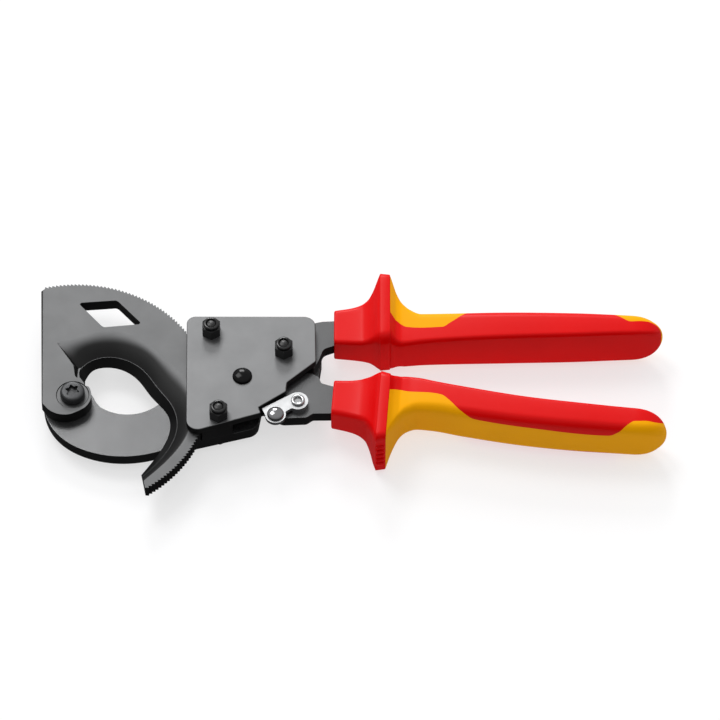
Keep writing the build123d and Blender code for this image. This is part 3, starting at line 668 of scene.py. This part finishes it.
hollow_rings = []
HOLLOW_RISE = BLADE_TOP - BLADE_Z - LAND_Z
for t in [0, SHELF] + [step / 24 for step in range(1, 25)]:
    curve = blend(land_top, hollow_top, t)
    rise = 1 - (1 - max(0, t - SHELF) / (1 - SHELF)) ** 1.8
    lean = WALL_LEAN * (1 - rise) ** 0.6
    curve[0] = (PLUNGE_LOW[0] + (HOLLOW_TOP[0][0] - PLUNGE_LOW[0]) * t + lean,
                PLUNGE_LOW[1] + (HOLLOW_TOP[0][1] - PLUNGE_LOW[1]) * t + 0.1)
    wall = [NOTCH[0]] + [(x + lean * share, y) for (x, y), share in zip(NOTCH[1:], (0.1, 0.35, 0.6))]
    ring = curve + JAW_CLOSE + wall + [(PLUNGE_LOW[0] + lean * 0.9, PLUNGE_LOW[1])]
    z = BLADE_Z + LAND_Z + HOLLOW_RISE * rise
    hollow_rings.append([(x, y, z + (0.004 if t == 1 else 0)) for x, y in ring])
hollow_rings.append([(x, y, BLADE_TOP + 1) for x, y, z in hollow_rings[-1]])
hollow_cutter = stack("hollow_cutter", hollow_rings)

blade = prism("moving_blade_ground", blade_outline(), BLADE_Z, BLADE_TOP)
boolean(blade, hollow_cutter, "DIFFERENCE")
boolean(blade, land_cutter, "DIFFERENCE")
boolean(blade, prism("window", rounded(WINDOW, WINDOW_RADII), BLADE_Z - 1, BLADE_TOP + 1), "DIFFERENCE")
recess = lathe("recess", [(0, BLADE_Z - 1), (PIVOT_R, BLADE_Z - 1), (PIVOT_R, BLADE_TOP - RECESS_DEPTH),
                          (RECESS_R - 0.12, BLADE_TOP - RECESS_DEPTH),
                          (RECESS_R, BLADE_TOP - RECESS_DEPTH + 0.1),
                          (RECESS_R + 0.25, BLADE_TOP + 0.1), (0, BLADE_TOP + 0.1)],
               (0, 0), 96)
boolean(blade, recess, "DIFFERENCE")
# Broad, shallow chamfer along the straight left edge
CHAMFER_WIDE, CHAMFER_DEEP = 1.2, 0.32
chamfer_rings = []
for x, y in [(LEFT_LOW[0] - 0.2, LEFT_LOW[1] - 5.0), (LEFT_TOP[0] - 0.2, LEFT_TOP[1] + 5.0)]:
    profile = [(-1.0, 1.0), (CHAMFER_WIDE + 0.3, 1.0), (CHAMFER_WIDE + 0.3, 0.01), (CHAMFER_WIDE, 0.01),
               (CHAMFER_WIDE * 0.6, -0.10 * CHAMFER_DEEP), (CHAMFER_WIDE * 0.3, -0.4 * CHAMFER_DEEP),
               (0.0, -CHAMFER_DEEP), (-1.0, -CHAMFER_DEEP * 2)]
    chamfer_rings.append([(x + a, y, BLADE_TOP + b) for a, b in profile])
boolean(blade, stack("edge_chamfer", chamfer_rings), "DIFFERENCE")
place(blade, BLADE_STEEL, "blade", ["moving_blade"], angle=26)

# ---- Plates and arms: the CAD shapes with rounded edges -----------------------------------
for node, width, mat, body, slot in [
        ("fixed_blade", 0.16, HOOK_STEEL, "housing", "steel_dark"),
        ("front_plate", 0.3, PLATE_STEEL, "housing", "steel_dark"),
        ("spacer_block", 0.2, ARM_STEEL, "housing", "steel_dark"),
        ("upper_arm", 0.2, ARM_STEEL, "housing", "steel_dark"),
        ("arm_shims", 0.0, ARM_STEEL, "housing", "steel_dark"),
        ("lower_arm", 0.2, ARM_STEEL, "handle", "steel_dark"),
        ("feed_pawl", 0.15, ARM_STEEL, "feeder", "steel_dark"),
        ("holding_pawl", 0.15, ARM_STEEL, "holder", "steel_dark")]:
    place(refined(node, width), mat, body, [node])

# ---- Nuts, pins and rivets -----------------------------------------------------------------
NUT_FLATS = 7.0
NUT_HEX, NUT_COLLAR = 4.9, 1.3
BOLT_R = 2.0


def islands(node):
    """Centres and vertical extents of a node's separate solids, in millimetres."""
    bm = bmesh.new()
    bm.from_mesh(nodes[node].data)
    bmesh.ops.remove_doubles(bm, verts=bm.verts, dist=0.000002)
    bm.verts.ensure_lookup_table()
    seen, found = set(), []
    for vert in bm.verts:
        if vert.index in seen:
            continue
        group, queue = [], [vert]
        seen.add(vert.index)
        while queue:
            v = queue.pop()
            group.append(v.co / MM)
            for edge in v.link_edges:
                other = edge.other_vert(v)
                if other.index not in seen:
                    seen.add(other.index)
                    queue.append(other)
        low = Vector([min(c[k] for c in group) for k in range(3)])
        high = Vector([max(c[k] for c in group) for k in range(3)])
        found.append((low, high))
    bm.free()
    return found


nuts, inserts, bolts = [], [], []
for low, high in islands("lock_nuts"):
    centre = ((low.x + high.x) / 2, (low.y + high.y) / 2)
    base = low.z
    corner = NUT_FLATS / sqrt(3)
    angles = [radians(30 + 60 * k) for k in range(6)]
    outline = [(centre[0] + corner * cos(a), centre[1] + corner * sin(a)) for a in angles]
    nut = prism("nut", outline, base, base + NUT_HEX)
    crown = lathe("crown", [(0, base - 0.1), (corner - 0.35, base - 0.1), (corner + 0.1, base + 0.35),
                            (corner + 0.1, base + NUT_HEX - 0.5),
                            (NUT_FLATS / 2 - 0.15, base + NUT_HEX + 0.08),
                            (0, base + NUT_HEX + 0.08)], centre, 96)
    boolean(nut, crown, "INTERSECT")
    collar_r, top = NUT_FLATS / 2 - 0.35, base + NUT_HEX + NUT_COLLAR
    collar = lathe("collar", [(0, base + 1), (collar_r, base + 1), (collar_r, top - 0.65),
                              (collar_r - 0.12, top - 0.3),
                              (collar_r - 0.4, top - 0.08), (collar_r - 0.75, top), (BOLT_R + 0.35, top),
                              (BOLT_R + 0.22, top - 0.1), (BOLT_R + 0.2, top - 0.5),
                              (0, top - 0.5)], centre, 72)
    boolean(nut, collar, "UNION")
    bore = lathe("bore", [(0, base - 1), (BOLT_R, base - 1), (BOLT_R, top + 1), (0, top + 1)], centre, 72)
    boolean(nut, bore, "DIFFERENCE")
    soften(nut, 0.2, 28)
    nuts.append(nut)
    inserts.append(lathe("ring", [(BOLT_R, top - 0.9), (BOLT_R + 0.33, top - 0.9), (BOLT_R + 0.33, top - 0.3),
                                  (BOLT_R + 0.2, top - 0.2), (BOLT_R, top - 0.25)], centre, 60))
place(joined(nuts, "lock_nuts_detailed"), BLACK_STEEL, "housing", ["lock_nuts"], angle=30)
place(joined(inserts, "lock_nut_rings"), RING, "housing", [], angle=40, weighted=False)

BOLT_HEAD_R, SOCKET_R, THREAD_PITCH = 2.4, 1.25, 0.35
BOLT_FOOT = spans("housing_bolts")[0].z
for low, high in islands("lock_nuts"):
    centre = ((low.x + high.x) / 2, (low.y + high.y) / 2)
    shank = [(0, BOLT_FOOT + 1.1), (SOCKET_R - 0.05, BOLT_FOOT + 1.1), (SOCKET_R, BOLT_FOOT + 0.95),
             (SOCKET_R, BOLT_FOOT + 0.12)]
    for a in range(62, -1, -6):
        shank.append((BOLT_HEAD_R * cos(radians(a)), NECK - (NECK - BOLT_FOOT) * sin(radians(a * 90 / 62))))
    shank += [(BOLT_HEAD_R, NECK), (BOLT_R - 0.02, NECK), (BOLT_R - 0.02, FRONT_TOP - 1)]
    z = FRONT_TOP - 1
    while z < high.z - 1.3:
        shank += [(BOLT_R - 0.22, z + THREAD_PITCH / 2), (BOLT_R - 0.02, z + THREAD_PITCH)]
        z += THREAD_PITCH
    shank += [(BOLT_R - 0.3, high.z - 0.55), (BOLT_R - 0.5, high.z - 0.42), (0, high.z - 0.42)]
    bolts.append(lathe("bolt", shank, centre, 60))
place(joined(bolts, "housing_bolts_detailed"), BOLT_STEEL, "housing", ["housing_bolts"],
      angle=35, weighted=False)

DOME_R = 3.9
dome = [(0, PIN_LOW.z), (DOME_R - 0.7, PIN_LOW.z), (DOME_R - 0.25, PIN_LOW.z + 0.3),
        (DOME_R, PIN_LOW.z + 0.8),
        (DOME_R, NECK), (2.48, NECK), (2.48, FRONT_TOP),
        (DOME_R, FRONT_TOP), (DOME_R + 0.03, FRONT_TOP + 0.2)]
foot = FRONT_TOP + 0.25
for a in range(10, 91, 8):
    dome.append((DOME_R * cos(radians(a)), foot + (PIN_HIGH.z - foot) * sin(radians(a))))
dome[-1] = (0, PIN_HIGH.z)
place(lathe("handle_pin_domed", dome, (PIN.x, PIN.y), 96), DOME_STEEL, "housing", ["handle_pin"],
      angle=40, weighted=False)

head_r = 4.9
head_top, head_low = SCREW_HIGH.z, BLADE_TOP - RECESS_DEPTH + 0.05
DOME_RISE = 1.5
hook_top = spans("fixed_blade")[1].z
screw = [(0, SCREW_LOW.z), (2.9, SCREW_LOW.z), (2.9, hook_top), (3.97, hook_top),
         (3.97, head_low), (head_r - 0.1, head_low), (head_r, head_low + 0.15),
         (head_r, head_top - DOME_RISE - 0.25)]
for a in range(0, 60, 6):
    reach = cos(radians(a)) ** 0.8
    screw.append((1.8 + (head_r - 1.8) * reach,
                  head_top - DOME_RISE + (DOME_RISE - 0.1) * sin(radians(a * 1.5))))
screw += [(2.9, head_top - 0.06), (0, head_top)]
screw = lathe("pivot_screw_torx", screw, (0, 0), 96)
star = []
for k in range(72):
    angle = 2 * pi * k / 72
    lobe = 0.5 + 0.5 * cos(6 * angle + pi / 2)
    radius = 1.95 + 0.9 * lobe**1.3
    star.append((radius * cos(angle), radius * sin(angle)))
boolean(screw, prism("star", star, head_top - 1.5, head_top + 1), "DIFFERENCE")
place(screw, SCREW_STEEL, "housing", ["pivot_screw"], angle=35)
place(refined("pivot_nut", 0.25), SCREW_STEEL, "housing", ["pivot_nut"])

for node, width, mat, body, slot in [
        ("lock_lever", 0.25, LEVER_STEEL, "lever", "steel_bright"),
        ("lever_washer", 0.1, BRIGHT_STEEL, "handle", "steel_bright"),
        ("holding_pawl_pin", 0.15, BRIGHT_STEEL, "housing", "steel_bright"),
        ("feed_pawl_pin", 0.15, BRIGHT_STEEL, "handle", "steel_bright"),
        ("handle_spring", 0.0, SPRING_STEEL, "housing", "spring_steel"),
        ("feed_pawl_spring", 0.05, SPRING_STEEL, "handle", "spring_steel"),
        ("holding_pawl_spring", 0.05, SPRING_STEEL, "housing", "spring_steel")]:
    place(refined(node, width), mat, body, [node])

lever_top = spans("lock_lever")[1].z
button_r, button_top = 3.35, BUTTON_HIGH.z
ball = [(0, BUTTON_LOW.z), (1.45, BUTTON_LOW.z), (1.45, lever_top), (button_r - 0.25, lever_top),
        (button_r - 0.05, lever_top + 0.12)]
foot = lever_top + 0.3
for a in range(0, 90, 6):
    ball.append((button_r * cos(radians(a)), foot + (button_top - foot) * sin(radians(a))))
ball.append((0, button_top))
place(lathe("lock_button_domed", ball, (BUTTON.x, BUTTON.y), 96), BALL_STEEL, "lever", ["lock_button"],
      angle=45, weighted=False)

rivet_top, rivet_low = RIVET_HIGH.z, RIVET_LOW.z
ring_r, hole_r = 2.75, 1.35
eyelet = [(0, rivet_low), (1.9, rivet_low), (1.9, lever_top + 0.1), (ring_r - 0.1, lever_top + 0.1),
          (ring_r, lever_top + 0.2)]
for a in range(0, 181, 15):
    eyelet.append(((ring_r + hole_r) / 2 + (ring_r - hole_r) / 2 * cos(radians(a)),
                   rivet_top - 0.55 + 0.55 * sin(radians(a))))
eyelet += [(hole_r, rivet_top - 0.85), (hole_r - 0.15, rivet_top - 1.0), (0, rivet_top - 1.0)]
place(lathe("lever_rivet_eyelet", eyelet, (RIVET.x, RIVET.y), 96), BRIGHT_STEEL, "handle", ["lever_rivet"],
      angle=45, weighted=False)

# ---- Floor, lights and camera ----------------------------------------------------------------
floor_mesh = bpy.data.meshes.new("floor")
FLOOR = 3.0
corners = [(-FLOOR, -FLOOR, 0), (FLOOR, -FLOOR, 0), (FLOOR, FLOOR, 0), (-FLOOR, FLOOR, 0)]
floor_mesh.from_pydata(corners, [], [(0, 1, 2, 3)])
floor = bpy.data.objects.new("floor", floor_mesh)
floor.location = (0, 0, -0.00005)
bpy.context.scene.collection.objects.link(floor)
floor_mat, floor_tree, floor_shader = material("floor_paper", Roughness=0.9, Specular_IOR_Level=0.1,
                                               Emission_Color=(1, 1, 1, 1), Emission_Strength=0.64)
floor_tint = ramp(floor_tree, noise(floor_tree, 3, 3),
                  [(0.3, (0.35, 0.35, 0.354)), (0.7, (0.37, 0.37, 0.374))])
floor_tree.links.new(floor_tint, floor_shader.inputs["Base Color"])
floor_mesh.materials.append(floor_mat)
floor.visible_glossy = False

TARGET = Vector((0.1140, 0.0208, 0.0098))
ELEVATION, DISTANCE = radians(55.0), 2.0


def softbox(name, azimuth, elevation, distance, size, power, colour=(1, 1, 1)):
    """Rectangular area light that looks at the object; azimuth 0 stands behind it, on the +Y side."""
    light = bpy.data.lights.new(name, "AREA")
    light.shape = "RECTANGLE"
    light.size, light.size_y = size
    light.energy = power
    light.color = colour
    lamp = bpy.data.objects.new(name, light)
    a, e = radians(azimuth), radians(elevation)
    direction = Vector((sin(a) * cos(e), cos(a) * cos(e), sin(e)))
    lamp.location = TARGET + direction * distance
    lamp.rotation_mode = "QUATERNION"
    lamp.rotation_quaternion = direction.to_track_quat("Z", "Y")
    bpy.context.scene.collection.objects.link(lamp)
    return lamp


softbox("back", -6, 34, 1.6, (0.42, 0.42), 9.0)
softbox("key", -38, 56, 1.8, (0.7, 0.7), 11.0)

SKY_AXIS = (0.0, 0.5, 0.85)      # brightest from above and behind the object
world = bpy.data.worlds.new("studio")
bpy.context.scene.world = world
world.use_nodes = True
world_tree = world.node_tree
background = world_tree.nodes["Background"]
sky = world_tree.nodes.new("ShaderNodeTexCoord")
sky_height = world_tree.nodes.new("ShaderNodeVectorMath")
sky_height.operation = "DOT_PRODUCT"
sky_height.inputs[1].default_value = SKY_AXIS
world_tree.links.new(sky.outputs["Generated"], sky_height.inputs[0])
sky_tint = ramp(world_tree, sky_height.outputs["Value"],
                [(0.0, (0.08, 0.08, 0.082)), (0.4, (0.58, 0.58, 0.59)), (0.8, (1.0, 1.0, 1.0))])
world_tree.links.new(sky_tint, background.inputs["Color"])
background.inputs["Strength"].default_value = 0.9

camera_data = bpy.data.cameras.new("camera")
camera_data.lens, camera_data.sensor_width = 250.0, 36.0
camera_data.clip_start, camera_data.clip_end = 0.1, 20.0
camera = bpy.data.objects.new("camera", camera_data)
bpy.context.scene.collection.objects.link(camera)
back = Vector((0, -cos(ELEVATION), sin(ELEVATION)))
camera.location = TARGET + back * DISTANCE
camera.rotation_mode = "QUATERNION"
camera.rotation_quaternion = back.to_track_quat("Z", "Y")
bpy.context.scene.camera = camera
bpy.context.scene.view_settings.view_transform = "Standard"
